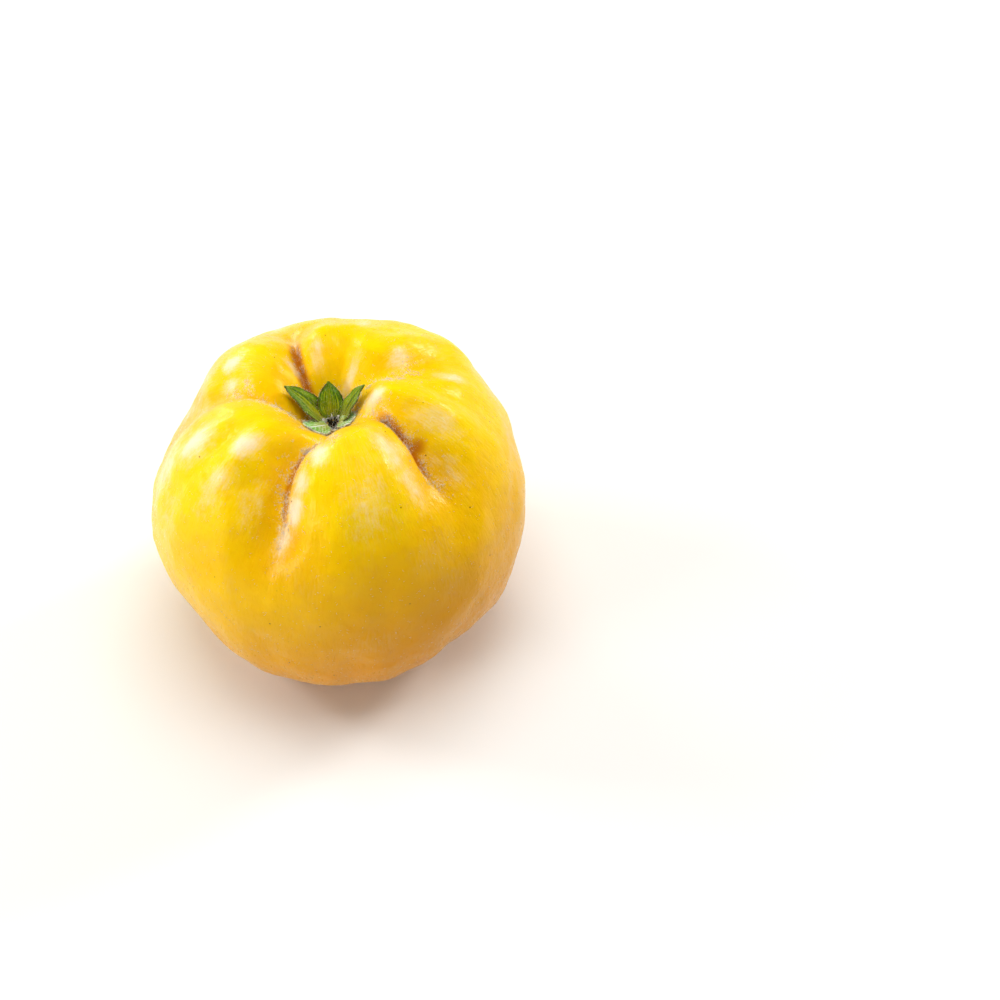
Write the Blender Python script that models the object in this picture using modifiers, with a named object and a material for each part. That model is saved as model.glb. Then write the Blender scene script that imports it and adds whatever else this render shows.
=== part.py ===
"""A whole quince standing on its stem end, with the dried calyx of the flower in the basin on top.

The fruit is one solid. Its surface is a polar map: for each direction from the middle of the fruit,
given by an azimuth round the core and a polar angle down from the calyx, a formula gives the distance
to the skin. The frame is metres, +Z up the core from stem to calyx and -Y towards the viewer of the
front, with the origin at the middle of the fruit's bounding box, on the surface that it stands on.
"""

import math
import random
from typing import NamedTuple

import bmesh
import bpy
import numpy as np
from mathutils import Matrix

MM = 0.001

# Body of the fruit
HALF_WIDTH_X = 45.6 * MM
HALF_WIDTH_Y = 43.4 * MM
HALF_HEIGHT = 42.0 * MM
BODY_FULLNESS = 2.3
MIDDLE_HEIGHT = 39.6 * MM

# Calyx basin, on top: its floor is flat and carries the calyx
EYE_HEIGHT = 27.0 * MM
BASIN_ANGLE = math.radians(15.5)
BASIN_STEEPNESS = 3.8
BASIN_SKEW = 0.17
BASIN_WIDE_TOWARDS = math.radians(150.0)

# Stem cavity, underneath
CAVITY_ROOF = 32.6 * MM
CAVITY_ANGLE = math.radians(15.0)
CAVITY_STEEPNESS = 3.4

# Mesh of the fruit
MERIDIANS = 90
PARALLELS = 54
POLE_CROWDING = 0.42

# Calyx: a small cup with five sepals on its rim
CUP_GAP = 0.5 * MM
CUP_RADIUS = 2.9 * MM
CUP_BORE = 2.0 * MM
CUP_FOOT_RADIUS = 2.2 * MM
CUP_FOOT_BORE = 1.6 * MM
CUP_HEIGHT = 1.6 * MM
SEPAL_THICKNESS = 0.7 * MM
SEPAL_ROOT_RADIUS = 2.2 * MM
SEPAL_TIP_HALF_WIDTH = 0.28 * MM
SEPAL_STEPS = 9
SEPAL_RIBS = 4

# Dried stamens and styles that stand in the cup
TUFT_GAP = 0.3 * MM
TUFT_RADIUS = 1.25 * MM
TUFT_HEIGHT = 1.2 * MM
FILAMENTS = 14
FILAMENT_LENGTH = 3.3 * MM
FILAMENT_RADIUS = 0.34 * MM
FILAMENT_LEAN = 34.0  # degrees, of the outermost
FILAMENT_SEED = 5

# Stub of the stalk, in the cavity underneath
STUB_RADIUS = 2.2 * MM
STUB_LENGTH = 3.8 * MM
STUB_GAP = 0.48 * MM
STUB_SIDES = 14
STUB_RINGS = 6
STUB_WAIST = 0.26  # these four are shares of the radius or the length
STUB_RIB = 0.06
STUB_SLANT = 0.14
STUB_TEAR = 0.12
STUB_SEED = 11

SKIN_YELLOW = (0.93, 0.60, 0.01)
SEPAL_GREEN = (0.13, 0.17, 0.02)
TUFT_BROWN = (0.12, 0.08, 0.04)
STALK_BROWN = (0.16, 0.10, 0.05)


class Furrow(NamedTuple):
    """A furrow that runs down from the basin. Angles are in degrees, depths and widths in millimetres."""

    azimuths: tuple  # at the polar angles that follow
    polars: tuple
    start: float  # polar angle where it begins
    full: float  # where it reaches its depth
    fading: float  # where it begins to fade
    end: float
    valley: float  # depth of the wide valley
    valley_angle: float  # half width of the valley, as an azimuth
    crease: float  # depth of the narrow fold in the valley's bottom
    crease_width: float


class Swell(NamedTuple):
    """A rounded rise on the skin or, with a negative height, a hollow."""

    azimuth: float  # degrees
    polar: float
    along: float  # reach down the meridian, in millimetres
    across: float
    height: float


class Sepal(NamedTuple):
    """One leaf of the calyx. Angles are in degrees, lengths in millimetres."""

    azimuth: float
    length: float
    width: float
    lift: float  # rise above the horizontal at the root
    curl: float  # change of that rise from root to tip
    sway: float  # how far the tip swings round
    keel: float  # rise of the edges over the midrib, as a share of the distance from it


FURROWS = (
    Furrow((137, 125, 116), (12, 21, 34), 6, 13, 20, 60, 4.4, 13, 2.2, 2.4),
    Furrow((188, 178, 168), (16, 24, 36), 7, 18, 30, 74, 4.0, 13, 1.4, 2.5),
    Furrow((263, 252, 249, 251), (19, 27, 38, 60), 8, 22, 44, 80, 5.0, 15, 2.0, 2.7),
    Furrow((340, 330, 322), (13, 25, 49), 7, 18, 38, 72, 4.6, 14, 2.4, 2.6),
    Furrow((36, 25, 26), (13, 20, 31), 6, 12, 20, 52, 3.6, 14, 1.2, 2.4),
    Furrow((66, 74, 80), (10, 18, 30), 6, 12, 20, 34, 1.6, 10, 0.4, 2.0),
)

SWELLS = (
    Swell(152, 36, 11, 12, 2.0),
    Swell(166, 63, 16, 15, -4.2),
    Swell(218, 40, 15, 13, 2.0),
    Swell(286, 36, 16, 14, 2.0),
    Swell(263, 38, 14, 5, 1.4),
    Swell(352, 26, 12, 11, 2.2),
    Swell(96, 24, 10, 11, 1.6),
    Swell(45, 52, 14, 13, 2.9),
    Swell(36, 60, 9, 9, -1.2),
    Swell(211, 38, 4, 3, -0.8),
    Swell(222, 33, 12, 4.5, 1.1),
    Swell(238, 34, 11, 5, -0.9),
    Swell(346, 14, 4, 3.5, 2.0),
    Swell(315, 16, 4, 3.5, -2.4),
    Swell(214, 111, 14, 12, -1.7),
    Swell(320, 119, 14, 12, -1.2),
)

SEPALS = (
    Sepal(160, 13.2, 5.4, 49, -6, 4, 0.34),
    Sepal(98, 8.7, 5.9, 62, -10, 0, 0.34),
    Sepal(14, 13.0, 4.8, 65, -4, -2, 0.34),
    Sepal(210, 5.8, 4.4, 60, -50, -2, 0.05),
    Sepal(330, 5.4, 4.6, 76, -54, 8, 0.1),
)


def smooth_step(low, high, value):
    """0 below low, 1 above high, and a smooth rise between them."""
    t = np.clip((value - low) / (high - low), 0.0, 1.0)
    return t * t * (3.0 - 2.0 * t)


def turn_from(centre, azimuth):
    """The signed angle from centre to azimuth, the short way round."""
    return (azimuth - centre + math.pi) % (2.0 * math.pi) - math.pi


def plain_body(polar, azimuth):
    """Distance to the skin of the fruit with neither basin, cavity nor furrows."""
    side = 1.0 / np.hypot(np.cos(azimuth) / HALF_WIDTH_X, np.sin(azimuth) / HALF_WIDTH_Y)
    across = np.abs(np.sin(polar)) / side
    along = np.abs(np.cos(polar)) / HALF_HEIGHT
    return (across**BODY_FULLNESS + along**BODY_FULLNESS) ** (-1.0 / BODY_FULLNESS)


def furrow_depth(furrow, polar, azimuth, reach):
    """How far a furrow sinks the skin, where reach is the distance from the core."""
    degrees = np.degrees(polar)
    path = np.polyfit(furrow.polars, furrow.azimuths, len(furrow.polars) - 1)
    held = np.clip(degrees, furrow.polars[0], furrow.polars[-1])
    turn = turn_from(np.radians(np.polyval(path, held)), azimuth)
    share = smooth_step(furrow.start, furrow.full, degrees)
    share = share * (1.0 - smooth_step(furrow.fading, furrow.end, degrees))
    valley = furrow.valley * MM * np.exp(-((turn / math.radians(furrow.valley_angle)) ** 2))
    fold = 1.0 / (1.0 + (reach * turn / (furrow.crease_width * MM)) ** 2)
    return share * (valley + furrow.crease * MM * fold)


def swell_height(swell, polar, azimuth, radius):
    down = radius * (polar - math.radians(swell.polar)) / (swell.along * MM)
    reach = radius * math.sin(math.radians(swell.polar))
    across = reach * turn_from(math.radians(swell.azimuth), azimuth) / (swell.across * MM)
    return swell.height * MM * np.exp(-(down**2) - across**2)


def sunk(radius, from_pole, floor_distance, angle, steepness):
    """The skin's distance with a flat-bottomed hollow of that angle let in round a pole."""
    share = np.exp(-((from_pole / angle) ** steepness))
    floor = floor_distance / np.maximum(np.cos(from_pole), 0.5)
    return radius * (1.0 - share) + floor * share


def skin_distance(polar, azimuth):
    """Distance from the middle of the fruit to its skin, for arrays of directions."""
    body = plain_body(polar, azimuth)
    radius = body.copy()
    for swell in SWELLS:
        radius += swell_height(swell, polar, azimuth, body)
    for furrow in FURROWS:
        radius -= furrow_depth(furrow, polar, azimuth, body * np.sin(polar))
    basin_angle = BASIN_ANGLE * (1.0 + BASIN_SKEW * np.cos(azimuth - BASIN_WIDE_TOWARDS))
    radius = sunk(radius, polar, EYE_HEIGHT, basin_angle, BASIN_STEEPNESS)
    return sunk(radius, math.pi - polar, CAVITY_ROOF, CAVITY_ANGLE, CAVITY_STEEPNESS)


def skin_point(polar, azimuth):
    """Rows of x, y and z on the skin. What would reach below the table is the flat foot, at z = 0."""
    radius = skin_distance(polar, azimuth)
    reach = radius * np.sin(polar)
    height = np.maximum(MIDDLE_HEIGHT + radius * np.cos(polar), 0.0)
    return np.stack([reach * np.cos(azimuth), reach * np.sin(azimuth), height], axis=-1)


def clear_scene():
    for obj in list(bpy.data.objects):
        bpy.data.objects.remove(obj)


def material(name, colour, roughness):
    made = bpy.data.materials.new(name)
    made.use_nodes = True
    shader = made.node_tree.nodes["Principled BSDF"]
    shader.inputs["Base Color"].default_value = (*colour, 1.0)
    shader.inputs["Roughness"].default_value = roughness
    return made


def new_object(name, form, collection):
    """An object made from a bmesh, which is used up."""
    mesh = bpy.data.meshes.new(name)
    form.to_mesh(mesh)
    form.free()
    made = bpy.data.objects.new(name, mesh)
    collection.objects.link(made)
    return made


def join_all(base, pieces, finish):
    """Joins a collection's objects to base with one Boolean union, and gives the result its material."""
    union = base.modifiers.new("join", "BOOLEAN")
    union.operation = "UNION"
    union.operand_type = "COLLECTION"
    union.collection = pieces
    union.solver = "MANIFOLD"
    graph = bpy.context.evaluated_depsgraph_get()
    joined = bpy.data.meshes.new_from_object(base.evaluated_get(graph))
    base.modifiers.clear()
    base.data = joined
    base.data.materials.clear()
    base.data.materials.append(finish)
    for piece in list(pieces.objects):
        bpy.data.objects.remove(piece)
    bpy.data.collections.remove(pieces)
    return base


def helper_collection(name):
    made = bpy.data.collections.new(name)
    bpy.context.scene.collection.children.link(made)
    return made


def make_fruit(collection):
    form = bmesh.new()
    bmesh.ops.create_uvsphere(form, u_segments=MERIDIANS, v_segments=PARALLELS, radius=1.0)
    directions = np.array([vertex.co for vertex in form.verts])
    even = np.arccos(np.clip(directions[:, 2], -1.0, 1.0))
    polar = even - POLE_CROWDING * np.sin(2.0 * even) / 2.0
    azimuth = np.arctan2(directions[:, 1], directions[:, 0])
    for vertex, place in zip(form.verts, skin_point(polar, azimuth)):
        vertex.co = place
    fruit = new_object("quince_fruit", form, collection)
    fruit.data.shade_smooth()
    fruit.data.materials.append(material("waxy yellow skin", SKIN_YELLOW, 0.4))
    return fruit


def eye_level():
    """Height of the basin's flat floor."""
    return MIDDLE_HEIGHT + EYE_HEIGHT


def make_cup(collection):
    """The cup of the calyx: a turned ring, a little wider at its mouth."""
    low = eye_level() + CUP_GAP
    high = low + CUP_HEIGHT
    form = bmesh.new()
    profile = ((CUP_BORE, high), (CUP_RADIUS, high), (CUP_FOOT_RADIUS, low), (CUP_FOOT_BORE, low))
    corners = [form.verts.new((radius, 0.0, height)) for radius, height in profile]
    edges = [form.edges.new((corners[i - 1], corners[i])) for i in range(len(corners))]
    bmesh.ops.spin(
        form,
        geom=corners + edges,
        axis=(0.0, 0.0, 1.0),
        cent=(0.0, 0.0, 0.0),
        angle=2.0 * math.pi,
        steps=24,
        use_merge=True,
    )
    bmesh.ops.recalc_face_normals(form, faces=form.faces)
    return new_object("calyx", form, collection)


def sepal_half_width(share):
    """Half width of a sepal along its length, as a share of its greatest half width."""
    return 2.13 * (1.0 - share) ** 0.78 * (share + 0.08) ** 0.5


def sepal_line(sepal):
    """Heights and distances from the core along a sepal's midrib, with the share of its length."""
    reach, height = SEPAL_ROOT_RADIUS, eye_level() + CUP_GAP + 0.45 * CUP_HEIGHT
    step = sepal.length * MM / SEPAL_STEPS
    line = [(0.0, reach, height, math.radians(sepal.lift))]
    for i in range(SEPAL_STEPS):
        share = (i + 1.0) / SEPAL_STEPS
        rise = math.radians(sepal.lift + sepal.curl * share**1.5)
        reach += step * math.cos(rise)
        height += step * math.sin(rise)
        line.append((share, reach, height, rise))
    return line


def make_sepal(sepal, name, collection):
    form = bmesh.new()
    bmesh.ops.create_grid(form, x_segments=SEPAL_RIBS, y_segments=SEPAL_STEPS, size=1.0)
    line = sepal_line(sepal)
    for vertex in form.verts:
        share, reach, height, rise = line[round((vertex.co.y + 1.0) / 2.0 * SEPAL_STEPS)]
        half = max(sepal.width / 2.0 * MM * sepal_half_width(share), SEPAL_TIP_HALF_WIDTH)
        side = vertex.co.x * half
        fold = sepal.keel * abs(side)
        swing = math.radians(sepal.azimuth + sepal.sway * share**2)
        out = reach - fold * math.sin(rise)
        up = height + fold * math.cos(rise)
        vertex.co = (
            out * math.cos(swing) - side * math.sin(swing),
            out * math.sin(swing) + side * math.cos(swing),
            up,
        )
    made = new_object(name, form, collection)
    thick = made.modifiers.new("thickness", "SOLIDIFY")
    thick.thickness = SEPAL_THICKNESS
    thick.offset = 0.0
    return made


def make_calyx(collection):
    calyx = make_cup(collection)
    pieces = helper_collection("sepals")
    for i, sepal in enumerate(SEPALS):
        make_sepal(sepal, f"sepal_{i + 1}", pieces)
    return join_all(calyx, pieces, material("downy green sepal", SEPAL_GREEN, 0.6))


def make_filament(draw, index, collection):
    """A thin three-sided stalk that leans out of the tuft, rooted near its middle."""
    azimuth = index * math.pi * (3.0 - math.sqrt(5.0))
    lean = math.radians(FILAMENT_LEAN * (index + 0.5) / FILAMENTS + draw.uniform(4.0, 12.0))
    length = FILAMENT_LENGTH * draw.uniform(0.8, 1.0)
    form = bmesh.new()
    bmesh.ops.create_cone(
        form,
        cap_ends=True,
        segments=3,
        radius1=FILAMENT_RADIUS,
        radius2=0.6 * FILAMENT_RADIUS,
        depth=length,
    )
    stand = Matrix.Translation((0.0, 0.0, length / 2.0))
    turn = Matrix.Rotation(azimuth, 4, "Z") @ Matrix.Rotation(lean, 4, "Y")
    root = Matrix.Translation((0.0, 0.0, eye_level() + TUFT_GAP + 0.35 * TUFT_HEIGHT))
    bmesh.ops.transform(form, matrix=root @ turn @ stand, verts=form.verts)
    return new_object(f"filament_{index + 1}", form, collection)


def make_tuft(collection):
    """The dried stamens: a small dome with thin filaments standing out of it."""
    form = bmesh.new()
    bmesh.ops.create_uvsphere(form, u_segments=12, v_segments=8, radius=TUFT_RADIUS)
    foot = eye_level() + TUFT_GAP
    for vertex in form.verts:
        vertex.co.z = foot + max(vertex.co.z, 0.0) * TUFT_HEIGHT / TUFT_RADIUS
    bmesh.ops.remove_doubles(form, verts=form.verts, dist=0.01 * MM)
    bmesh.ops.dissolve_degenerate(form, edges=form.edges, dist=0.01 * MM)
    tuft = new_object("stamen_tuft", form, collection)
    draw = random.Random(FILAMENT_SEED)
    pieces = helper_collection("filaments")
    for i in range(FILAMENTS):
        make_filament(draw, i, pieces)
    return join_all(tuft, pieces, material("dried stamen", TUFT_BROWN, 0.85))


def make_stub(collection):
    """The stub where the stalk broke off: waisted, ribbed, with a slanted torn end, clear of the table."""
    top = MIDDLE_HEIGHT - CAVITY_ROOF - STUB_GAP
    draw = random.Random(STUB_SEED)
    form = bmesh.new()
    bmesh.ops.create_cone(
        form,
        cap_ends=True,
        cap_tris=True,
        segments=STUB_SIDES,
        radius1=1.0,
        radius2=1.0,
        depth=1.0,
    )
    uprights = [edge for edge in form.edges if abs(edge.verts[0].co.z - edge.verts[1].co.z) > 0.5]
    bmesh.ops.subdivide_edges(form, edges=uprights, cuts=STUB_RINGS - 1)
    torn = [draw.uniform(-STUB_TEAR, STUB_TEAR) for _ in range(STUB_SIDES + 1)]
    for vertex in form.verts:
        share = 0.5 - vertex.co.z  # 0 at the top, where it grows from the fruit, and 1 at the end
        azimuth = math.atan2(vertex.co.y, vertex.co.x)
        waist = 1.0 - STUB_WAIST * math.sin(math.pi * min(share * 1.25, 1.0))
        rib = 1.0 + STUB_RIB * math.cos(5.0 * azimuth)
        reach = STUB_RADIUS * waist * rib * math.hypot(vertex.co.x, vertex.co.y)
        slant = 1.0 - STUB_SLANT * math.cos(azimuth)
        side = round((azimuth + math.pi) / (2.0 * math.pi) * STUB_SIDES)
        tear = torn[side] if share > 0.99 else 0.0
        down = STUB_LENGTH * share * (slant - tear)
        vertex.co = (reach * math.cos(azimuth), reach * math.sin(azimuth), top - down)
    stub = new_object("stalk_stub", form, collection)
    stub.data.materials.append(material("woody stalk", STALK_BROWN, 0.85))
    return stub


def centre_on_origin(objects, fruit):
    """Moves everything so that the middle of the fruit's bounding box stands over the origin."""
    places = np.array([vertex.co for vertex in fruit.data.vertices])
    middle = (places.min(axis=0) + places.max(axis=0)) / 2.0
    for obj in objects:
        obj.data.transform(Matrix.Translation((-middle[0], -middle[1], 0.0)))


def main():
    clear_scene()
    collection = bpy.data.collections.new("quince")
    bpy.context.scene.collection.children.link(collection)
    fruit = make_fruit(collection)
    pieces = [fruit, make_calyx(collection), make_tuft(collection), make_stub(collection)]
    centre_on_origin(pieces, fruit)


main()
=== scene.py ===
"""The looks of a ripe quince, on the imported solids: lumpy waxy skin, wool in the furrows, calyx and stalk.

The file is laid out as a Blender add-on and is run as a script. Sizes are metres unless a name or a
comment says millimetres. Directions on the fruit are an azimuth round the core, counted from +X towards
+Y, and a polar angle down from the calyx, both measured from the middle of the fruit.
"""

import math
from typing import NamedTuple

import bpy
import numpy as np
from mathutils import Matrix, Vector, noise


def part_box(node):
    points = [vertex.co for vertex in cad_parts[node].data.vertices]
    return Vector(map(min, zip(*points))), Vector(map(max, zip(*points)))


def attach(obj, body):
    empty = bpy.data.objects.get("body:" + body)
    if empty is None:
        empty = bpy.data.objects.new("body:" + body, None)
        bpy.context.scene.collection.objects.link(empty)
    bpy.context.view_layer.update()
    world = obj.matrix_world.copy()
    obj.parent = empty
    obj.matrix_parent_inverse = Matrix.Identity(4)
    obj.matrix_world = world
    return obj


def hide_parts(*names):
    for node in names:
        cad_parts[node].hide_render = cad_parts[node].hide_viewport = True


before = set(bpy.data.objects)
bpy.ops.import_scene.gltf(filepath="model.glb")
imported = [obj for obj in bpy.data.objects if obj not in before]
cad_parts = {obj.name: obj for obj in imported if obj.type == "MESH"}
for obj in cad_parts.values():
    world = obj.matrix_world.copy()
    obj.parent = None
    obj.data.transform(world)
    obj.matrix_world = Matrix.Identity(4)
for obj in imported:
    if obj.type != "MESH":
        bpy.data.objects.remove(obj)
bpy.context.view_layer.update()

bl_info = {
    "name": "Quince",
    "version": (1, 0, 0),
    "blender": (4, 5, 0),
    "location": "View3D > Sidebar > Quince",
    "description": "Builds a ripe quince with its down, calyx, stamens and stalk",
    "category": "Add Mesh",
}

MM = 0.001
FRUIT_NODE = "quince_fruit"

HALF_WIDTH = 45.0 * MM  # about half of the fruit's width
DEGREES_PER_MM = 1.3  # of polar angle, down the skin
PLAIN_POWER = 2.3  # exponent of the plain round form that crests and hollows are measured from
CREST_HEIGHT = 4.0 * MM  # a crest as high as this over the plain form counts in full
SHADE_SIDE = np.array([0.34, -0.42, -0.8])  # the way towards which the skin is painted darker amber: painted shade on the lower, near, right side

CREASE_WIDTH = 2.4  # mm, half width of the crease in the solid, which is filled
CLEFT_ROUNDING = 0.1  # keeps the bottom of a cleft from being a knife's edge
LIP_PLACE = 1.9  # mm, from the cleft to the middle of a lip
LIP_WIDTH = 1.4  # mm, half width of a lip
LIP_RISE = 0.4  # how much of a lip's lean raises it
LIP_REACH = 0.8  # and how much carries it over the cleft
STAIN_AND_SHADE_WIDTH = 1.5  # half width of the brown in a cleft, in half widths of the cleft; the brown is partly the skin's browning and partly painted shade
STAIN_AND_SHADE_SHIFT = 0.6  # how far the brown follows the down to one side, off the crest and into the furrow's shaded side
MAT_WIDTH = 1.2  # mm, half width of the dense down in a furrow
FRINGE_WIDTH = 3.6  # mm, half width of the looser down beside it
FRINGE = 0.22  # how thick that looser down is


class Furrow(NamedTuple):
    """A furrow down from the basin. Angles are in degrees, the other sizes in millimetres."""

    azimuths: tuple  # at the polar angles that follow
    polars: tuple
    start: float  # polar angle where the cleft begins
    full: float
    fading: float
    end: float
    fill: float  # how far the solid's broad crease is filled, before the fine cleft is cut
    cleft: float  # depth of the fine cleft in the furrow's bottom
    width: float  # half width of the cleft
    lips: tuple  # how far the lips lean over it, on the side of smaller and of larger azimuths
    wool: float  # how thick the down stands in it, 0 to 1
    wool_side: float  # where the down's middle lies, across the furrow
    stain_and_shade: float  # how brown the cleft is, 0 to 1: the skin's browning and painted shade


class Sepal(NamedTuple):
    """One leaf of the calyx. Angles are in degrees, lengths in millimetres."""

    azimuth: float
    length: float
    width: float
    lift: float  # rise above the horizontal at the root
    curl: float  # change of that rise from root to tip
    sway: float  # how far the tip swings round
    fold: float  # how steeply the two halves rise from the midrib
    woolly: bool


FURROWS = (
    Furrow((137, 125, 116), (12, 21, 34), 9, 14, 26, 38, 0.9, 1.0, 1.2, (0.5, 0.5), 0.35, 0.0, 0.9),
    Furrow((188, 178, 168), (16, 24, 36), 12, 18, 28, 40, 1.0, 0.3, 0.8, (0.2, 0.2), 0.7, 0.4, 0.25),
    Furrow(
        (263, 252, 249, 251), (19, 27, 38, 60), 16, 26, 42, 68, 0.85, 1.0, 0.6, (0.0, 0.5), 0.7, -0.8, 0.7
    ),
    Furrow((340, 330, 322), (13, 25, 49), 12, 24, 34, 56, 0.9, 0.9, 0.8, (1.0, 0.3), 1.0, 0.7, 0.9),
    Furrow((36, 25, 26), (13, 20, 31), 10, 14, 24, 36, 0.9, 0.2, 0.8, (0.3, 0.1), 0.8, -0.6, 0.15),
)

SEPALS = (
    Sepal(160, 13.2, 5.6, 49, -6, 4, 0.34, False),
    Sepal(98, 8.7, 6.3, 62, -10, 0, 0.34, False),
    Sepal(14, 13.0, 4.8, 65, -4, -2, 0.34, False),
    Sepal(224, 7.0, 5.8, 30, -36, -20, -0.1, True),
    Sepal(342, 6.2, 5.0, 42, -24, 2, 0.1, True),
)

# Low swells, and hollows where the height is below 0
SWELLS = (  # azimuth, polar angle, reach along the meridian and across it in degrees, height in mm
    (46, 30, 9, 11, 0.9),
    (31, 38, 10, 6, -0.5),
    (17, 41, 11, 7, 0.9),
    (3, 40, 10, 5, -0.5),
    (349, 36, 10, 7, 0.7),
    (104, 22, 7, 12, 0.8),
    (79, 20, 5, 8, -0.6),
    (200, 46, 9, 6, 0.5),
    (163, 49, 9, 7, 0.6),
    (262, 47, 16, 4, 0.5),
    (308, 16, 4, 14, -0.7),
    (266, 13, 4, 9, -1.0),
    (198, 43, 9, 5, 0.5),
    (210, 40, 10, 4, -0.5),
    (222, 35, 8, 5, 0.5),
    (212, 62, 8, 5, 0.5),
    (226, 66, 9, 5, -0.4),
    (329, 35, 6, 5, -0.6),
    (322, 54, 5, 6, 0.4),
)

# Brown patches on the skin, stains and painted shade, most of them in hollows of SWELLS: azimuth, polar
# angle, reach along the meridian and across it in mm, strength
STAINS_AND_SHADE = (
    (211, 38, 1.3, 1.3, 0.3),
    (299, 114, 3.2, 3.2, 0.45),
    (78, 18, 1.4, 1.4, 0.3),
    (264, 12, 1.3, 1.3, 0.8),
    (329, 35, 2.5, 2.5, 0.85),
)

BLOOMS_AND_HIGHLIGHTS = (  # pale wax bloom and painted highlights, set where the light catches the lobes
    (153, 37, 3.6, 2.1, 0.9),
    (164, 36, 3.2, 1.9, 0.8),
    (199, 44, 6.2, 4.2, 0.85),
    (221, 32, 4.0, 3.1, 0.9),
    (221, 46, 8.0, 3.6, 0.5),
    (190, 62, 13.0, 6.5, 0.6),
    (207, 72, 12.0, 5.0, 0.35),
    (264, 25, 4.4, 3.0, 0.75),
    (256.5, 35, 5.0, 2.4, 0.7),
    (255.5, 44, 4.4, 2.2, 0.95),
    (252.5, 54, 6.0, 2.0, 0.7),
    (288, 42, 9.0, 6.0, 0.36),
    (311, 30, 7.0, 3.6, 0.6),
    (311, 43, 8.0, 3.4, 0.5),
    (353, 15, 2.2, 2.5, 0.85),
    (37, 27, 4.0, 2.6, 0.6),
    (17, 40, 5.0, 1.9, 0.65),
    (345, 35, 8.0, 3.8, 0.5),
    (331, 47, 7.0, 4.0, 0.36),
    (64, 15, 3.8, 1.8, 0.55),
    (105, 20, 3.2, 1.7, 0.55),
    (236, 46, 7.0, 3.2, 0.34),
    (131, 22, 3.0, 1.1, 0.6),
    (116, 34, 4.0, 1.8, 0.5),
    (110, 19, 2.6, 1.0, 0.5),
    (152, 53, 9.0, 7.0, 0.42),
    (176, 52, 9.0, 7.0, 0.45),
    (114, 50, 6.0, 7.0, 0.42),
    (60, 52, 5.5, 3.4, 0.55),
    (95, 58, 7.0, 3.0, 0.55),
    (131, 56, 7.0, 3.8, 0.65),
    (25, 66, 6.0, 2.8, 0.45),
    (75, 36, 4.4, 2.4, 0.55),
    (160, 66, 8.0, 3.0, 0.5),
)

TUFTS = (  # thicker down
    (168, 28, 1.6, 1.6, 0.9),
    (337, 15, 1.4, 1.2, 1.0),
    (275, 20, 2.4, 1.8, 0.6),
    (231, 15, 1.2, 1.4, 0.8),
    (30, 29, 2.4, 1.4, 0.6),
)

HAIRS_IN_CLUMP = 9  # matted together, from about the same root
BARE_FOOT = 1.5 * MM  # no down grows lower than this
MARGIN_HAIRS = 150  # along the margins of a green sepal
WOOLLY_HAIRS = 620  # over a woolly one
CURLS = 260  # in the mouth of the cup
VEINS = 8.0  # side veins along a sepal
VEIN_SLANT = 2.2  # how far a vein climbs from the midrib to the edge, in distances between veins
TOOTH = 0.95  # mm, from tooth to tooth of a sepal's edge
GAP = 0.5 * MM  # between the basin's floor and what stands on it

SOFTBOXES = (  # name, place and size in metres, watts, whether it shows in reflections
    ("left softbox", (-0.72, 0.16, 0.5), 0.2, 1.55, True),
    ("low left softbox", (-0.66, -0.4, 0.3), 0.26, 1.7, True),
    ("right softbox", (0.72, 0.46, 0.44), 0.22, 3.2, True),
    ("back softbox", (-0.55, 0.7, 0.24), 0.22, 1.5, True),
    ("top softbox", (0.05, 0.02, 0.88), 0.6, 3.8, False),
)

RANGE_INPUTS = ("From Min", "From Max", "To Min", "To Max")


def linear(text):
    """A colour written as sRGB hex, such as "#ffcc00", as linear red, green, blue and alpha."""
    values = [int(text[i : i + 2], 16) / 255.0 for i in (1, 3, 5)]
    return (*[v / 12.92 if v <= 0.04045 else ((v + 0.055) / 1.055) ** 2.4 for v in values], 1.0)


def colour(text, name, description):
    """A colour setting whose default is written as sRGB hex."""
    return bpy.props.FloatVectorProperty(
        name=name, description=description, subtype="COLOR", size=4, min=0.0, max=1.0, default=linear(text)
    )


def length(value, name, description):
    """A length setting in metres."""
    shown = {"name": name, "description": description, "precision": 5}
    return bpy.props.FloatProperty(unit="LENGTH", subtype="DISTANCE", default=value, min=0.0, **shown)


def number(value, name, description, least=0):
    """A whole number setting."""
    return bpy.props.IntProperty(name=name, description=description, default=value, min=least)


class QuinceSkinSettings(bpy.types.PropertyGroup):
    middle_height: length(39.6 * MM, "Middle height", "Height of the point that directions are measured from")
    lump_height: length(0.48 * MM, "Lump height", "Height of the low irregular lumps of the skin")
    lump_width: length(9.0 * MM, "Lump width", "Usual distance between two lumps")
    flute_height: length(0.6 * MM, "Flute height", "Height of the shallow flutes that run from end to end")
    flute_width: length(10.0 * MM, "Flute width", "Usual distance between two flutes")
    yellow: colour("#fccf00", "Yellow", "The ripe skin")
    # Lemon is painted light: the crests of the lobes are made paler than the rest
    lemon: colour("#fdd500", "Lemon", "The skin on the crests of the lobes")
    # Amber is the skin's uneven ripening, and also painted shade in the hollows and on the lower, near, right
    # side
    amber: colour("#de9600", "Amber", "The skin in the hollows and on the side that lay in the sun")
    # The cleft colour is partly the skin's browning and partly painted shade in the furrows
    cleft: colour("#bf6c14", "Cleft", "The skin in the bottom of the furrows")
    # Wax is also the colour of the painted highlights in the bloom patches
    wax_and_highlight: colour("#fce6c8", "Wax", "Pale brushed patches of wax and rubbed down")
    felt: colour("#f6dfb4", "Felt", "Down too short to model, in the furrows")
    speck: colour("#7a4a14", "Speck", "The small corky dots")


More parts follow.
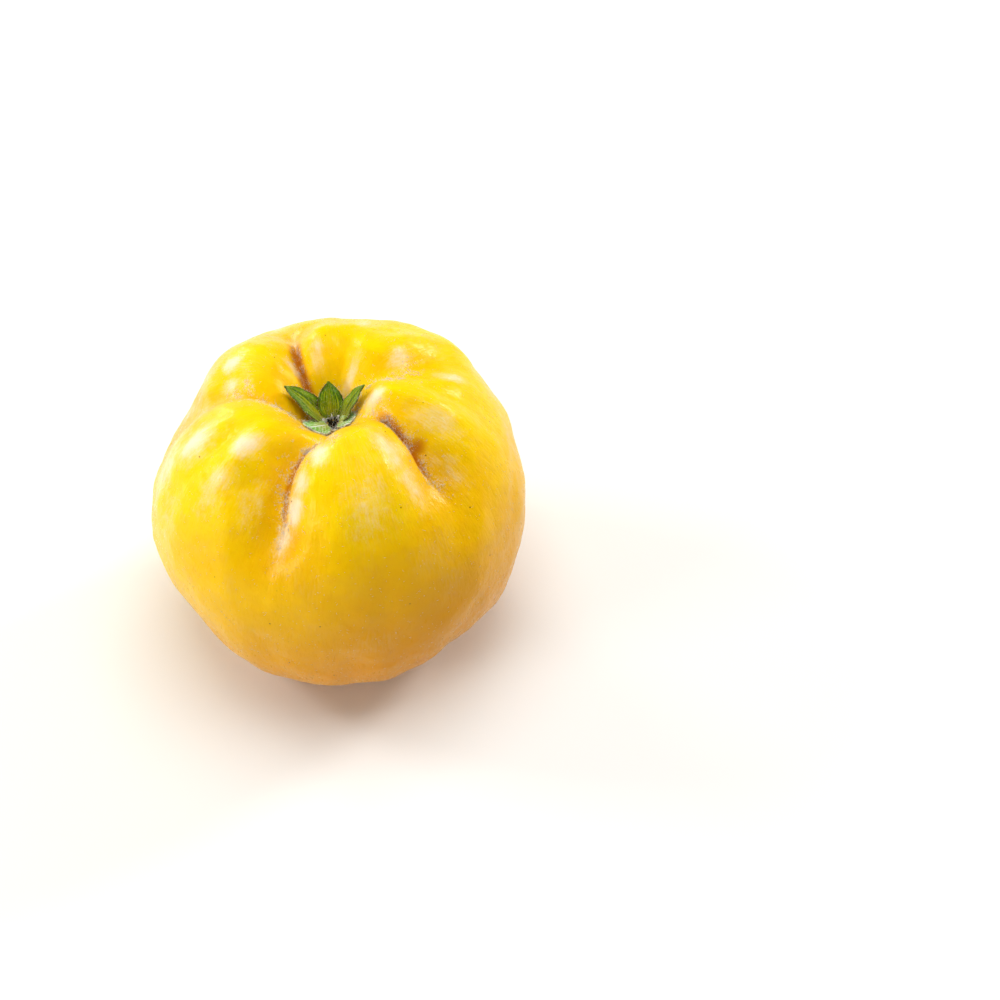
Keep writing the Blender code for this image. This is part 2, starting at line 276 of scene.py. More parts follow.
class QuinceDownSettings(bpy.types.PropertyGroup):
    hairs: number(9000, "Hairs", "Bent hairs in the furrows", least=100)
    lint: number(5200, "Lint", "Single hairs all over")
    hair_length: length(0.7 * MM, "Hair length", "Length of a hair of the down")
    hair_radius: length(0.045 * MM, "Hair radius", "Radius of a hair, larger than life so that it shows")
    pale: colour("#fffaf0", "Pale wool", "Clean down")
    tan: colour("#e6c496", "Tan wool", "Old down, deep in the furrows")
    seed: number(7, "Seed", "Seed of the random draws")


class QuinceCalyxSettings(bpy.types.PropertyGroup):
    cup_radius: length(2.9 * MM, "Cup radius", "Radius of the cup that carries the sepals")
    cup_height: length(1.6 * MM, "Cup height", "Height of the cup")
    eye_height: length(66.6 * MM, "Eye height", "Height of the basin's floor, under the cup")
    root_radius: length(2.2 * MM, "Root radius", "Distance of the sepals' roots from the core")
    thickness: length(0.36 * MM, "Sepal thickness", "Thickness of a sepal")
    green: colour("#7aa81a", "Green", "The blade of a sepal")
    dark_green: colour("#355708", "Dark green", "The dark streaks along a sepal")
    straw: colour("#c8c01e", "Straw", "The blade near its root, and the veins of a green sepal")
    pale_green: colour("#8fd45c", "Pale green", "The blade of a woolly sepal")
    wool: colour("#fcfdf6", "Wool", "The wool on the sepals, and the veins of a woolly one")
    dried: colour("#5a4320", "Dried margin", "The dried edge of a green sepal")


class QuinceStamenSettings(bpy.types.PropertyGroup):
    filaments: number(12, "Filaments", "Number of dried stamens", least=3)
    filament_length: length(1.2 * MM, "Filament length", "Length of a dried stamen")
    brown: colour("#1c140c", "Brown", "Dried stamens")
    faded: colour("#6e5634", "Faded brown", "The paler places on them")
    seed: number(3, "Seed", "Seed of the random draws")


class QuinceStalkSettings(bpy.types.PropertyGroup):
    bark: colour("#5e4426", "Bark", "The bark of the stalk")
    furrow: colour("#2c1e10", "Bark furrows", "The cracks of the bark")
    wood: colour("#c9a878", "Wood", "The torn end of the stalk")


class QuinceStageSettings(bpy.types.PropertyGroup):
    elevation: bpy.props.FloatProperty(
        name="Elevation",
        description="Height of the camera over the horizon",
        subtype="ANGLE",
        default=math.radians(50.0),
    )
    distance: length(575.9 * MM, "Distance", "From the camera to the fruit")
    aside: length(39.3 * MM, "Aside", "How far the camera looks past the fruit, to its right")
    floor: colour("#f4f3f0", "Floor", "The pale floor")


def settings(name):
    """The scene's settings of that name."""
    return getattr(bpy.context.scene, name)


def smooth_step(low, high, value):
    """0 below low, 1 above high, and a smooth rise between them."""
    t = np.clip((value - low) / (high - low), 0.0, 1.0)
    return t * t * (3.0 - 2.0 * t)


def unit(vectors):
    return vectors / np.linalg.norm(vectors, axis=1, keepdims=True)


def take(obj):
    """Makes obj the only selected object, and the active one."""
    bpy.ops.object.select_all(action="DESELECT")
    obj.select_set(True)
    bpy.context.view_layer.objects.active = obj


def new_object(name, data):
    made = bpy.data.objects.new(name, data)
    bpy.context.scene.collection.objects.link(made)
    return made


def primitive(name, operator, **options):
    """Adds a primitive by its operator, with nothing else selected."""
    bpy.ops.object.select_all(action="DESELECT")
    operator(**options)
    made = bpy.context.active_object
    made.name = name
    return made


def edit(obj, *steps):
    """Runs edit mode operators, each given with its settings, on the whole of obj."""
    take(obj)
    bpy.ops.object.mode_set(mode="EDIT")
    bpy.ops.mesh.select_all(action="SELECT")
    for operator, options in steps:
        operator(**options)
    bpy.ops.object.mode_set(mode="OBJECT")


def apply_modifier(obj, kind, **options):
    modifier = obj.modifiers.new(kind.lower(), kind)
    for name, value in options.items():
        setattr(modifier, name, value)
    take(obj)
    bpy.ops.object.modifier_apply(modifier=modifier.name)


def subdivide(obj, levels):
    apply_modifier(obj, "SUBSURF", levels=levels, render_levels=levels)


def thicken(obj, thickness, levels):
    """Gives a sheet its thickness, rounds it off and shades it smooth."""
    apply_modifier(obj, "SOLIDIFY", thickness=thickness, offset=0.0)
    edit(obj, (bpy.ops.mesh.normals_make_consistent, {"inside": False}))
    subdivide(obj, levels)
    obj.data.shade_smooth()


def cut_across(obj, heights):
    """Cuts level through the mesh at each height, so that it can be bent or narrowed there."""
    for height in heights:
        edit(obj, (bpy.ops.mesh.bisect, {"plane_co": (0.0, 0.0, height), "plane_no": (0.0, 0.0, 1.0)}))


def points_of(obj):
    """The vertices of obj as rows of x, y and z."""
    places = np.empty(len(obj.data.vertices) * 3)
    obj.data.vertices.foreach_get("co", places)
    return places.reshape(-1, 3)


def set_points(obj, places):
    obj.data.vertices.foreach_set("co", np.ascontiguousarray(places).ravel())
    obj.data.update()


def normals_of(obj):
    normals = np.empty(len(obj.data.vertices) * 3)
    obj.data.vertices.foreach_get("normal", normals)
    return normals.reshape(-1, 3)


def store(obj, **fields):
    """Keeps numbers or vectors for each vertex, for the material to read."""
    for name, values in fields.items():
        kind, field = ("FLOAT_VECTOR", "vector") if values.ndim == 2 else ("FLOAT", "value")
        layer = obj.data.attributes.new(name, kind, "POINT")
        layer.data.foreach_set(field, np.ascontiguousarray(values, dtype=np.float32).ravel())


def noise_at(places, width, seed):
    """Smooth noise, about -1 to 1, whose lumps are about that wide."""
    shift = Vector((seed * 3.1, seed * 7.7, seed * 1.3))
    return np.array([noise.noise(Vector(place) / width + shift) for place in places])


def finish_piece(obj, material, slot, *nodes):
    """Gives a piece its material and its body, and hides the solids that it stands for. The slot is not used.
    """
    obj.data.materials.clear()
    obj.data.materials.append(material)
    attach(obj, "root")
    if nodes:
        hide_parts(*nodes)


def from_middle(places):
    """The places, measured from the fruit's middle."""
    return places - np.array([0.0, 0.0, settings("quince_skin").middle_height])


def directions_of(places):
    """Polar angle, azimuth and distance from the core, of places round the fruit's middle."""
    rel = from_middle(places)
    reach = np.hypot(rel[:, 0], rel[:, 1])
    return np.arctan2(reach, rel[:, 2]), np.arctan2(rel[:, 1], rel[:, 0]), reach


def unrolled(polar, azimuth, drop):
    """Coordinates of the skin rolled out: the same circle at every height, and drop for each radian down."""
    return np.stack([HALF_WIDTH * np.cos(azimuth), HALF_WIDTH * np.sin(azimuth), drop * polar], axis=1)


def turn_between(start, azimuth):
    """The turn from one azimuth to another, the short way round, in radians."""
    return (azimuth - start + math.pi) % (2.0 * math.pi) - math.pi


def across_furrow(furrow, polar, azimuth, reach):
    """Distance across the furrow in millimetres, signed, and how strong the furrow is there, 0 to 1."""
    degrees = np.degrees(polar)
    path = np.polyfit(furrow.polars, furrow.azimuths, len(furrow.polars) - 1)
    held = np.clip(degrees, furrow.polars[0], furrow.polars[-1])
    turn = turn_between(np.radians(np.polyval(path, held)), azimuth)
    share = smooth_step(furrow.start, furrow.full, degrees)
    share = share * (1.0 - smooth_step(furrow.fading, furrow.end, degrees))
    return reach * turn / MM, share


def patch_share(spot_azimuth, spot_polar, polar, azimuth, along, across):
    """A round patch on the fruit: 1 at its middle, fading over the angles along and across, in degrees."""
    turn = turn_between(math.radians(spot_azimuth), azimuth)
    away = np.degrees(polar) - spot_polar
    return np.exp(-((away / along) ** 2) - (np.degrees(turn) / across) ** 2)


def patches_at(patches, polar, azimuth, reach):
    """How strongly a list of patches, given in millimetres, covers each place, 0 to 1."""
    covered = np.zeros(len(polar))
    for spot_azimuth, spot_polar, along, wide, strength in patches:
        turn = np.degrees(wide * MM / np.maximum(reach, 1.0 * MM))
        share = patch_share(spot_azimuth, spot_polar, polar, azimuth, along * DEGREES_PER_MM, turn)
        covered = np.maximum(covered, strength * share)
    return covered


def fold_skin(places, normals):
    """Where the skin's points lie once it has swollen, the clefts are cut and their lips lean over them."""
    polar, azimuth, reach = directions_of(places)
    east = np.stack([-np.sin(azimuth), np.cos(azimuth), np.zeros_like(azimuth)], axis=1)
    outwards = unit(from_middle(places))
    moved = places.copy()
    for spot_azimuth, spot_polar, along, wide, height in SWELLS:
        share = patch_share(spot_azimuth, spot_polar, polar, azimuth, along, wide)
        moved += outwards * (height * MM * share)[:, None]
    for furrow in FURROWS:
        across, share = across_furrow(furrow, polar, azimuth, reach)
        filled = furrow.fill / (1.0 + (across / CREASE_WIDTH) ** 2)
        cleft = furrow.cleft * np.exp(-np.sqrt((across / furrow.width) ** 2 + CLEFT_ROUNDING))
        off_lip = (np.abs(across) - LIP_PLACE) / LIP_WIDTH
        lean = np.where(across < 0.0, *furrow.lips) * np.exp(-(off_lip**2))
        rise = share * MM * (LIP_RISE * lean + filled - cleft)
        inwards = -np.tanh(across) * share * lean * MM * LIP_REACH
        moved += normals * rise[:, None] + east * inwards[:, None]
    return moved


def low_relief(places, options):
    """Height of the lumps, large and small, and of the flutes. They fade towards the calyx."""
    polar, azimuth, _ = directions_of(places)
    lumps = noise_at(places, options.lump_width, 1) + 0.4 * noise_at(places, options.lump_width * 0.42, 2)
    flutes = noise_at(unrolled(polar, azimuth, 16.0 * MM), options.flute_width, 3)
    calm = smooth_step(math.radians(8.0), math.radians(22.0), polar)
    return (options.lump_height * lumps + options.flute_height * flutes) * calm


def rise_over_plain(places):
    """How far the skin stands over a plain round fruit of the same size, -1 in a hollow to 1 on a crest."""
    low, high = (np.array(corner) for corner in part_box(FRUIT_NODE))
    half = (high - low) / 2.0
    polar, azimuth, reach = directions_of(places)
    distance = reach / np.maximum(np.sin(polar), 1e-6)
    side = 1.0 / np.hypot(np.cos(azimuth) / half[0], np.sin(azimuth) / half[1])
    level, upright = np.sin(polar) / side, np.abs(np.cos(polar)) / half[2]
    plain = (level**PLAIN_POWER + upright**PLAIN_POWER) ** (-1.0 / PLAIN_POWER)
    return np.clip((distance - plain) / CREST_HEIGHT, -1.0, 1.0)


def wool_density(places):
    """How thick the down stands on the skin, 0 to 1: in the furrows, round the eye and round the stalk."""
    polar, azimuth, reach = directions_of(places)
    total = patches_at(TUFTS, polar, azimuth, reach)
    for furrow in FURROWS:
        across, share = across_furrow(furrow, polar, azimuth, reach)
        across = across - furrow.wool_side
        near = np.exp(-((across / MAT_WIDTH) ** 2)) + FRINGE * np.exp(-((across / FRINGE_WIDTH) ** 2))
        total = np.maximum(total, furrow.wool * np.sqrt(share) * near)
    eye = 0.7 * (1.0 - smooth_step(math.radians(8.0), math.radians(15.0), polar))
    stalk_end = 0.35 * smooth_step(math.radians(160.0), math.radians(172.0), polar)
    patchy = np.clip(0.55 + 1.1 * noise_at(places, 2.2 * MM, 5), 0.05, 1.4)
    return np.clip(np.maximum(np.maximum(total, eye), stalk_end) * patchy, 0.0, 1.0)


def mark_skin(skin, places):
    """Keeps on the skin what its material and the down read."""
    polar, azimuth, reach = directions_of(places)
    # Brown patches: stains, and painted shade in the hollows
    crease = patches_at(STAINS_AND_SHADE, polar, azimuth, reach)
    # Brown down each cleft, moved to its shaded side: partly browning, partly painted shade
    for furrow in FURROWS:
        across, share = across_furrow(furrow, polar, azimuth, reach)
        across = across - STAIN_AND_SHADE_SHIFT * furrow.wool_side
        brown = np.exp(-((across / (STAIN_AND_SHADE_WIDTH * furrow.width)) ** 2))
        crease = np.maximum(crease, furrow.stain_and_shade * share * brown)
    # All of the basin lies below the plain form, so its floor doesn't count as a hollow and gets none of the
    # painted shade
    basin = 1.0 - smooth_step(math.radians(20.0), math.radians(32.0), polar)
    rise = rise_over_plain(places)
    store(
        skin,
        crease=crease,
        bloom=patches_at(BLOOMS_AND_HIGHLIGHTS, polar, azimuth, reach),
        rise=0.5 + 0.5 * np.where(rise < 0.0, rise * (1.0 - basin), rise),
        wool=wool_density(places),
        sunned=from_middle(places) @ SHADE_SIDE / HALF_WIDTH,
        grain=unrolled(polar, azimuth, HALF_WIDTH / 4.0),
    )


def make_skin():
    """The skin: the fruit's solid, smoothed and subdivided, with lumps, clefts and lips worked into it."""
    options = settings("quince_skin")
    skin = new_object("quince_skin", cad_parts[FRUIT_NODE].data.copy())
    take(skin)
    bpy.ops.mesh.customdata_custom_splitnormals_clear()
    edit(
        skin,
        (bpy.ops.mesh.remove_doubles, {"threshold": 0.01 * MM}),
        (bpy.ops.mesh.tris_convert_to_quads, {"face_threshold": 0.9, "shape_threshold": 1.2}),
    )
    subdivide(skin, 2)
    places, normals = points_of(skin), normals_of(skin)
    moved = fold_skin(places, normals)
    moved += normals * low_relief(places, options)[:, None]
    # The foot stays on the floor, where the relief has moved it
    sink = moved[:, 2].min() * (1.0 - smooth_step(0.0, 12.0 * MM, moved[:, 2]))
    moved[:, 2] = np.maximum(moved[:, 2] - sink, 0.0)
    set_points(skin, moved)
    skin.data.shade_smooth()
    mark_skin(skin, moved)
    finish_piece(skin, skin_material(options), "skin", FRUIT_NODE)


def set_inputs(tree, node, links):
    """Sets a node's inputs, to values or to outputs of other nodes."""
    for key, value in links.items():
        if isinstance(value, bpy.types.NodeSocket):
            tree.links.new(value, node.inputs[key])
        else:
            node.inputs[key].default_value = value


def add(tree, kind, links=None, output=0, **options):
    """Adds a shader node with its settings and links, and gives back an output of it."""
    made = tree.nodes.new(kind)
    for name, value in options.items():
        setattr(made, name, value)
    set_inputs(tree, made, links or {})
    return made.outputs[output]


def new_material(name):
    """A material with its tree and its Principled shader."""
    made = bpy.data.materials.new(name)
    made.use_nodes = True
    return made, made.node_tree, made.node_tree.nodes["Principled BSDF"]


def paint(tree, surface, fields, ranges, products, layers):
    """Lays colours over a surface, one on the other, each by its mask. Gives the colour and the masks."""
    masks = {}
    for name, field, *ends in ranges:
        links = {"Value": fields[field], **dict(zip(RANGE_INPUTS, ends))}
        masks[name] = add(tree, "ShaderNodeMapRange", links, "Result", interpolation_type="SMOOTHSTEP")
    for name, first, second in products:
        masks[name] = add(tree, "ShaderNodeMath", {0: masks[first], 1: masks[second]}, operation="MULTIPLY")
    for name, tone in layers:
        surface = add(tree, "ShaderNodeMix", {0: masks[name], 6: surface, 7: tone}, 2, data_type="RGBA")
    return surface, masks


def skin_material(options):
    """Ripe quince skin: thin, waxy and a little see-through, glossy where the down has rubbed off, with
    painted light and shade in its colour.
    """
    made, tree, shader = new_material("waxy ripe quince skin")
    place = add(tree, "ShaderNodeTexCoord", output="Object")
    grain = add(tree, "ShaderNodeAttribute", output="Vector", attribute_name="grain")
    fields = {}
    for name in ("rise", "sunned", "crease", "wool", "bloom"):
        fields[name] = add(tree, "ShaderNodeAttribute", output="Fac", attribute_name=name)
    noises = (  # coordinates, usual width in mm, detail, roughness
        ("patches", place, 15.0, 3.0, 0.5),  # ripening is uneven
        ("mottle", place, 3.0, 4.0, 0.5),  # with a finer mottle in it
        ("strokes", grain, 0.6, 3.0, 0.6),  # wax is brushed down the meridians, several mm long
        ("swathes", place, 12.0, 2.0, 0.5),  # and lies in broad patches
        ("specks", place, 0.45, 2.0, 0.5),  # felt of down too short to model
        ("sheen", grain, 0.8, 3.0, 0.5),  # rubbed and unrubbed streaks
        ("dimples", place, 2.8, 3.0, 0.5),  # the skin is slightly uneven, as on an orange
        ("pores", grain, 0.7, 2.0, 0.5),
        ("grit", place, 0.4, 3.0, 0.6),  # real grit is near 0.1 mm, drawn coarser so that it shows
    )
    for name, vector, width, detail, rough in noises:
        links = {"Vector": vector, "Scale": 1.0 / (width * MM), "Detail": detail, "Roughness": rough}
        fields[name] = add(tree, "ShaderNodeTexNoise", links, "Fac")
    # Corky dots 0.3 mm wide, a few to the square centimetre
    links = {"Vector": place, "Scale": 1.0 / (5.0 * MM)}
    fields["cells"] = add(tree, "ShaderNodeTexVoronoi", links, "Distance")
    # Streaks and grains fray the edges of the wax and of the painted highlights
    fields["frayed"] = fields["bloom"]
    for name, share in (("strokes", 0.5), ("specks", 0.35), ("dimples", 0.6)):
        links = {0: fields[name], 1: share, 2: -0.5 * share}
        fray = add(tree, "ShaderNodeMath", links, operation="MULTIPLY_ADD")
        fields["frayed"] = add(tree, "ShaderNodeMath", {0: fields["frayed"], 1: fray}, operation="ADD")
    ranges = (  # name, field, from, to, and the strengths there
        ("patchy", "patches", 0.35, 0.68, 0.0, 0.22),
        # Painted light on the crests and painted shade in the hollows, from the relief
        ("lit_crests", "rise", 0.4, 0.8, 0.0, 0.8),
        ("shaded_hollows", "rise", 0.42, 0.1, 0.0, 0.35),
        ("mottled", "mottle", 0.4, 0.75, 0.0, 0.14),
        # Painted shade: darker amber towards the lower, near, right side of the fruit
        ("sunned", "sunned", -0.3, 0.8, 0.0, 0.95),
        ("strokes", "strokes", 0.35, 0.68, 0.0, 1.0),
        ("swathes", "swathes", 0.45, 0.7, 0.0, 0.09),
        # Pale wax bloom and painted highlights, in patches with frayed edges
        ("wax_and_highlight_patches", "frayed", 0.1, 0.98, 0.0, 0.9),
        # Brown in the clefts and patches: partly browning, partly painted shade
        ("cleft", "crease", 0.15, 0.9, 0.0, 0.85),
        ("felt", "wool", 0.04, 0.5, 0.0, 0.6),
        ("specks", "specks", 0.5, 0.6, 0.0, 1.0),
        ("dots", "cells", 0.05, 0.03, 0.0, 0.8),
        ("gloss", "sheen", 0.3, 0.7, 0.26, 0.5),
        ("matt", "wool", 0.0, 0.7, 0.0, 0.35),
    )
    products = (("rubbed", "strokes", "swathes"), ("frost", "felt", "specks"))
    layers = (
        ("patchy", options.amber),
        ("lit_crests", options.lemon),
        ("shaded_hollows", options.amber),
        ("mottled", options.amber),
        ("sunned", options.amber),
        ("rubbed", options.wax_and_highlight),
        ("cleft", options.cleft),
        ("wax_and_highlight_patches", options.wax_and_highlight),
        ("frost", options.felt),
        ("dots", options.speck),
    )
    surface, masks = paint(tree, options.yellow, fields, ranges, products, layers)
    rough = add(tree, "ShaderNodeMath", {0: masks["gloss"], 1: masks["matt"]}, operation="ADD")
    normal = None
    for name, strength, depth in (("dimples", 0.4, 0.6), ("pores", 0.3, 0.25), ("grit", 0.4, 0.1)):
        links = {"Height": fields[name], "Strength": strength, "Distance": depth * MM}
        if normal:
            links["Normal"] = normal
        normal = add(tree, "ShaderNodeBump", links, "Normal")
    finish = {
        "Base Color": surface,
        "Roughness": rough,
        "Normal": normal,
        "Coat Normal": normal,
        "Subsurface Weight": 0.18,
        "Subsurface Radius": (1.0, 0.45, 0.08),
        "Subsurface Scale": 2.0 * MM,
        "IOR": 1.4,
        "Specular IOR Level": 0.15,
        "Coat Weight": 0.24,
        "Coat Roughness": 0.2,
        "Coat IOR": 1.45,
        # Down too fine to see lies over the whole skin and brightens it where it is seen at a slant
        "Sheen Weight": 0.2,
        "Sheen Roughness": 0.35,
        "Sheen Tint": options.wax_and_highlight,
    }
    set_inputs(tree, shader, finish)
    return made


def wool_material(name, pale, tan):
    """Plant wool: matt dry hairs, cream where clean and tan where old, with a soft sheen."""
    made, tree, shader = new_material(name)
    tint = add(tree, "ShaderNodeAttribute", output="Fac", attribute_name="tint")
    tone = add(tree, "ShaderNodeMix", {0: tint, 6: tan, 7: pale}, 2, data_type="RGBA")
    finish = {
        "Base Color": tone,
        "Roughness": 0.85,
        "Sheen Weight": 0.3,
        "Subsurface Weight": 0.5,
        "Subsurface Radius": (1.0, 0.95, 0.85),
        "Subsurface Scale": 0.3 * MM,
    }
    set_inputs(tree, shader, finish)
    return made


def hair_template(rings):
    """A three-sided pointed hair of unit length and radius along +Z: its points and its faces."""
    hair = primitive("hair", bpy.ops.mesh.primitive_cone_add, vertices=3, radius1=1.0, radius2=0.0, depth=1.0)
    cut_across(hair, np.linspace(-0.5, 0.5, rings + 2)[1:-1])
    places = points_of(hair)
    places[:, 2] += 0.5
    faces = [tuple(face.vertices) for face in hair.data.polygons]
    bpy.data.objects.remove(hair)
    return places, faces


def grow_hairs(name, template, roots, along, bend, lengths, radius, tints):
    """One mesh of hairs, each from its root along its direction, its tip carried aside by bend."""
    shape, faces = template
    aside = unit(np.cross(along, bend))
    other = np.cross(along, aside)
    ups = shape[:, 2][None, :, None]
    places = roots[:, None, :] + along[:, None, :] * ups * lengths[:, None, None]
    places = places + bend[:, None, :] * (ups**2) * lengths[:, None, None]
    places = places + aside[:, None, :] * shape[:, 0][None, :, None] * radius
    places = places + other[:, None, :] * shape[:, 1][None, :, None] * radius
    count = len(shape)
    mesh = bpy.data.meshes.new(name)
    listed = [tuple(i * count + v for v in face) for i in range(len(roots)) for face in faces]
    mesh.from_pydata(places.reshape(-1, 3).tolist(), [], listed)
    made = new_object(name, mesh)
    edit(made, (bpy.ops.mesh.normals_make_consistent, {"inside": False}))
    made.data.shade_smooth()
    store(made, tint=np.repeat(tints, count))
    return made


def scatter(obj, weights, count, draw):
    """Places on a mesh's surface, drawn by a weight for each vertex: points, normals and weights there."""
    mesh = obj.data
    mesh.calc_loop_triangles()
    corners = np.empty(len(mesh.loop_triangles) * 3, dtype=np.int64)
    mesh.loop_triangles.foreach_get("vertices", corners)
    corners = corners.reshape(-1, 3)
    places, normals = points_of(obj), normals_of(obj)
    a, b, c = (places[corners[:, i]] for i in range(3))
    area = np.linalg.norm(np.cross(b - a, c - a), axis=1)
    chance = area * weights[corners].mean(axis=1)
    picked = corners[draw.choice(len(corners), size=count, p=chance / chance.sum())]
    u, v = draw.random(count), draw.random(count)
    over = u + v > 1.0
    u[over], v[over] = 1.0 - u[over], 1.0 - v[over]
    share = np.stack([1.0 - u - v, u, v], axis=1)[:, :, None]
    normal = unit((normals[picked] * share).sum(axis=1))
    return (places[picked] * share).sum(axis=1), normal, (weights[picked] * share[:, :, 0]).sum(axis=1)


def tangents(normal, draw):
    """A random direction along the surface for each normal."""
    wild = draw.normal(size=normal.shape)
    wild -= normal * (wild * normal).sum(axis=1, keepdims=True)
    return unit(wild)


def make_down():
    """The down: matted clumps of bent hairs in the furrows and round the eye, and single hairs all over."""
    options = settings("quince_down")
    skin = bpy.data.objects["quince_skin"]
    draw = np.random.default_rng(options.seed)
    wool = np.empty(len(skin.data.vertices), dtype=np.float32)
    skin.data.attributes["wool"].data.foreach_get("value", wool)
    off_foot = points_of(skin)[:, 2] > BARE_FOOT
    wool = wool * off_foot
    material = wool_material("matted quince down", options.pale, options.tan)
    clumps = options.hairs // HAIRS_IN_CLUMP
    drawn = scatter(skin, wool**1.3, clumps, draw)
    roots, normal, thick = (np.repeat(values, HAIRS_IN_CLUMP, axis=0) for values in drawn)
    count = len(roots)
    spread = draw.uniform(0.0, 0.3, size=(count, 1)) * MM
    roots = roots + tangents(normal, draw) * spread - normal * 0.05 * MM
    lift = draw.uniform(0.1, 0.9, size=(count, 1))
    along = unit(tangents(normal, draw) + normal * lift)
    bend = tangents(normal, draw) * draw.uniform(0.2, 0.7, size=(count, 1)) - normal * 0.2
    lengths = options.hair_length * draw.uniform(0.45, 1.15, count)
    tint = np.repeat(draw.normal(0.95, 0.25, clumps), HAIRS_IN_CLUMP) - 0.4 * thick
    tint = np.clip(tint + draw.normal(0.0, 0.1, count), 0.0, 1.0)
    bent = hair_template(1)
    matted = grow_hairs("furrow_down", bent, roots, along, bend, lengths, options.hair_radius, tint)
    finish_piece(matted, material, "skin")
    count = options.lint
    roots, normal, _ = scatter(skin, (0.05 + wool) * off_foot, count, draw)
    along = unit(tangents(normal, draw) + normal * draw.uniform(0.05, 0.5, size=(count, 1)))
    lengths = draw.uniform(0.2, 0.6, count) * MM
    tint = draw.uniform(0.6, 1.0, count)
    bend = tangents(normal, draw) * 0.4
    straight = hair_template(0)
    lint = grow_hairs("loose_down", straight, roots, along, bend, lengths, options.hair_radius, tint)
    finish_piece(lint, material, "skin")


def sepal_outline(share):
    """Half width of a sepal along its length, as a share of its greatest half width."""
    return 2.62 * np.clip(1.0 - share, 0.0, 1.0) ** 0.92 * (share + 0.07) ** 0.68


def sepal_midrib(sepal, options, share):
    """Distance from the core, height and rise of a sepal's midrib at each share of its length."""
    steps = np.linspace(0.0, 1.0, 101)
    rise = np.radians(sepal.lift + sepal.curl * steps**1.5)
    step = sepal.length * MM / 100.0
    base = options.eye_height + GAP + (1.0 if sepal.woolly else 0.45) * options.cup_height
    reach = options.root_radius * (0.7 if sepal.woolly else 1.0) + np.cumsum(np.cos(rise)) * step
    height = base + np.cumsum(np.sin(rise)) * step
    return tuple(np.interp(share, steps, values) for values in (reach, height, rise))


def clear_of_skin(places, gap):
    """Lifts what would dip into the skin, so that it lies on it with that gap."""
    skin = bpy.data.objects["quince_skin"]
    cleared = places.copy()
    for i, place in enumerate(places):
        _, near, normal, _ = skin.closest_point_on_mesh(Vector(place))
        height = (Vector(place) - near).dot(normal)
        if height < gap:
            cleared[i] = near + normal * gap
    return cleared


def sepal_places(sepal, options, share, x, keel):
    """Places at a share of a sepal's length, x beside its midrib and keel above it, and their azimuths."""
    reach, height, rise = sepal_midrib(sepal, options, share)
    swing = np.radians(sepal.azimuth + sepal.sway * share**2)
    out = reach - keel * np.sin(rise)
    up = height + keel * np.cos(rise)
    level = (out * np.cos(swing) - x * np.sin(swing), out * np.sin(swing) + x * np.cos(swing))
    return np.stack([*level, up], axis=1), swing


def make_sepal(sepal, index, options, material):
    """A sepal: a keeled toothed blade with a sunken midrib, raised side veins and a waved margin."""
    grid = {"x_subdivisions": 20, "y_subdivisions": 48, "size": 2.0}
    blade = primitive(f"sepal_{index}", bpy.ops.mesh.primitive_grid_add, **grid)
    flat = points_of(blade)
    side, share = flat[:, 0], (flat[:, 1] + 1.0) / 2.0
    edge = np.abs(side)
    teeth = 0.07 * np.abs(np.sin(math.pi * share * sepal.length / TOOTH)) * smooth_step(0.1, 0.3, share)
    half = np.maximum(sepal.width / 2.0 * sepal_outline(share) * (1.0 + teeth), 0.1) * MM
    x = side * half
    wave = 0.22 * MM * edge**2 * np.sin(2.0 * math.pi * (2.6 * share + 0.37 * index) + 1.3 * side)
    course = share * VEINS - edge * VEIN_SLANT
    veins = np.abs(course % 1.0 - 0.5) * 2.0
    relief = 0.07 * MM * smooth_step(0.7, 1.0, veins) * (1.0 - edge**4)
    relief = relief - 0.16 * MM * np.exp(-((x / (0.25 * MM)) ** 2)) * (1.0 - share)
    keel = sepal.fold * np.abs(x) + wave + relief
    places, _ = sepal_places(sepal, options, share, x, keel)
    set_points(blade, clear_of_skin(places, 0.5 * options.thickness + 0.1 * MM))
    fibres = np.stack([11.0 * side, share, np.full(len(side), 3.0 * index)], axis=1)
    store(blade, along=share, edge=edge, course=course, fibres=fibres)
    thicken(blade, options.thickness, 1)
    finish_piece(blade, material, "sepal")


